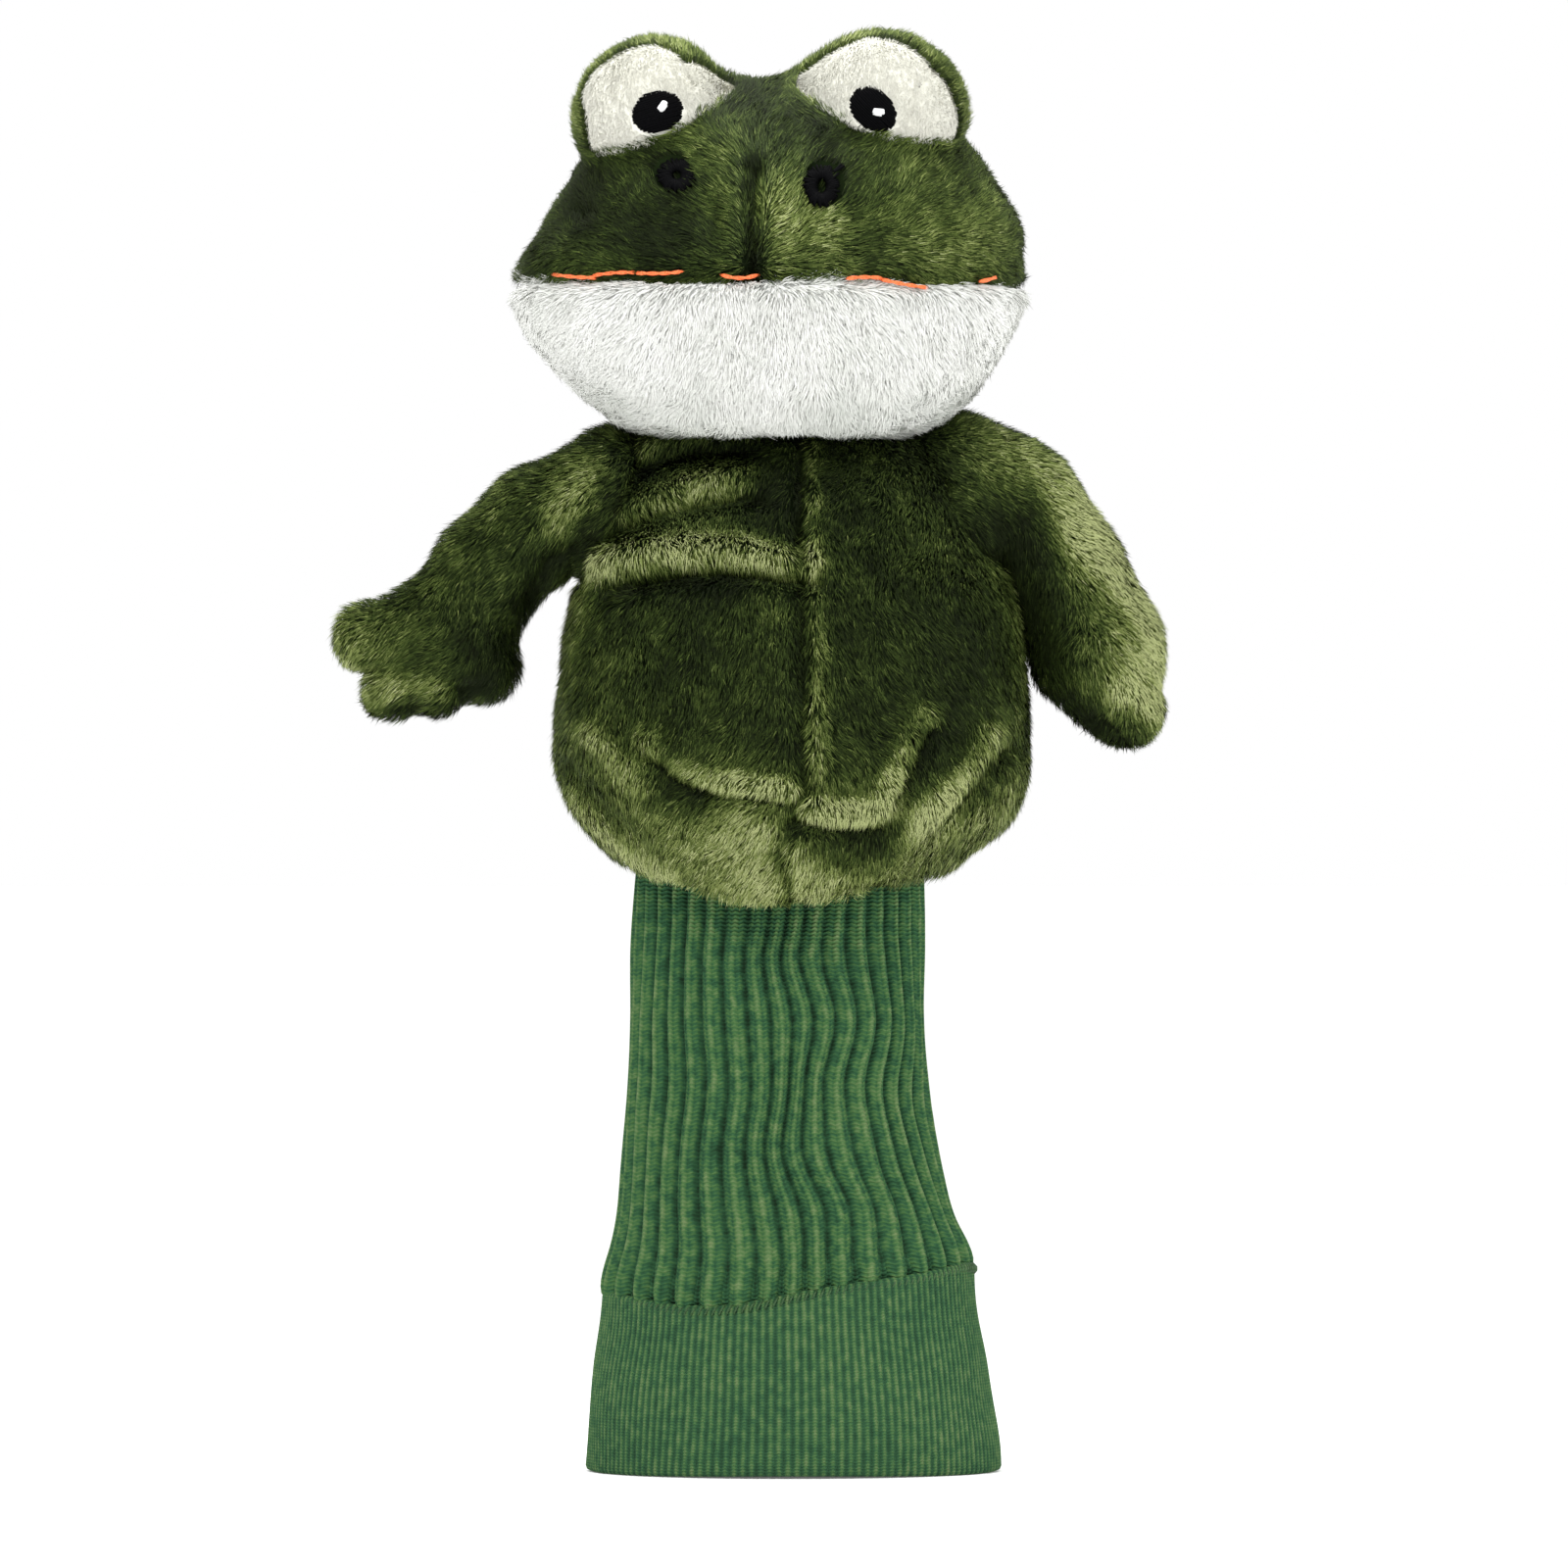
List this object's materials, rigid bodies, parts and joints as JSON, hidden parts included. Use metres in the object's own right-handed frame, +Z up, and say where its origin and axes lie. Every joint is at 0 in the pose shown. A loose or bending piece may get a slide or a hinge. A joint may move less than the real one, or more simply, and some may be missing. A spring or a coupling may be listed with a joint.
{
  "type": "hand puppet",
  "caption": "Plush frog hand puppet: stuffed head with felt eyes and a sewn mouth, soft body and arms, on a long rib-knit sleeve with a cuff.",
  "frame": {"origin": "centre of the flat lower rim of the cuff, where the forearm goes in", "axes": "+Z up along the sleeve to the head, -Y the way the face looks, +X the viewer's right"},
  "size_m": [0.1925, 0.0954, 0.3349],
  "materials": {
    "plush_green": "matte",
    "plush_white": "matte",
    "knit_green": "matte",
    "felt_cream": "matte",
    "thread_black": "satin",
    "thread_white": "satin",
    "thread_orange": "satin",
    "thread_green": "matte",
    "stuffing": "matte",
    "lining": "matte"
  },
  "bodies": {
    "sleeve": {"cuff": "knit_green", "cuff_seam": "thread_green", "rib_sleeve": "knit_green"},
    "waist": {"waist_band": "knit_green"},
    "torso": {"body_front_left": "plush_green", "body_front_right": "plush_green", "body_back_left": "plush_green", "body_back_right": "plush_green", "body_seam": "thread_green", "body_padding": "stuffing", "hand_lining": "lining"},
    "neck": {"neck_collar": "lining"},
    "head": {"head_front_left": "plush_green", "head_front_right": "plush_green", "head_back": "plush_green", "chin": "plush_white", "head_stuffing": "stuffing", "finger_stall": "lining", "head_seam": "thread_green", "eye_mound_left": "plush_green", "eye_stuffing_left": "stuffing", "eye_white_left": "felt_cream", "pupil_left": "thread_black", "eye_glint_left": "thread_white", "eye_mound_right": "plush_green", "eye_stuffing_right": "stuffing", "eye_white_right": "felt_cream", "pupil_right": "thread_black", "eye_glint_right": "thread_white", "nostril_left": "thread_black", "nostril_right": "thread_black", "mouth_stitch_1": "thread_orange", "mouth_stitch_2": "thread_orange", "mouth_stitch_3": "thread_orange", "mouth_stitch_4": "thread_orange", "mouth_stitch_5": "thread_orange", "mouth_stitch_6": "thread_orange"},
    "shoulder_left": {"shoulder_seam_left": "thread_green"},
    "arm_left": {"arm_left_front": "plush_green", "arm_left_back": "plush_green", "arm_left_stuffing": "stuffing", "finger_stitch_left_1": "thread_green", "finger_stitch_left_2": "thread_green"},
    "shoulder_right": {"shoulder_seam_right": "thread_green"},
    "arm_right": {"arm_right_front": "plush_green", "arm_right_back": "plush_green", "arm_right_stuffing": "stuffing", "finger_stitch_right_1": "thread_green"}
  },
  "joints": [
    {"name": "waist_lean", "type": "hinge", "parent": "sleeve", "child": "waist", "pos_m": [-0.0035, 0, 0.141], "axis": [0, 1, 0], "range_deg": [-12, 12]},
    {"name": "waist_bend", "type": "hinge", "parent": "waist", "child": "torso", "pos_m": [-0.0035, 0, 0.141], "axis": [1, 0, 0], "range_deg": [-12, 18]},
    {"name": "head_turn", "type": "hinge", "parent": "torso", "child": "neck", "pos_m": [-0.004, 0.003, 0.242], "axis": [0, 0, 1], "range_deg": [-30, 30]},
    {"name": "head_nod", "type": "hinge", "parent": "neck", "child": "head", "pos_m": [-0.004, 0.003, 0.242], "axis": [1, 0, 0], "range_deg": [-15, 12]},
    {"name": "arm_left_swing", "type": "hinge", "parent": "torso", "child": "shoulder_left", "pos_m": [-0.043, -0.002, 0.2245], "axis": [0, 0, 1], "range_deg": [-15, 20]},
    {"name": "arm_left_raise", "type": "hinge", "parent": "shoulder_left", "child": "arm_left", "pos_m": [-0.043, -0.002, 0.2245], "axis": [0, 1, 0], "range_deg": [-5, 40]},
    {"name": "arm_right_swing", "type": "hinge", "parent": "torso", "child": "shoulder_right", "pos_m": [0.0405, -0.002, 0.2245], "axis": [0, 0, 1], "range_deg": [-20, 15]},
    {"name": "arm_right_raise", "type": "hinge", "parent": "shoulder_right", "child": "arm_right", "pos_m": [0.0405, -0.002, 0.2245], "axis": [0, -1, 0], "range_deg": [-2, 50]}
  ]
}
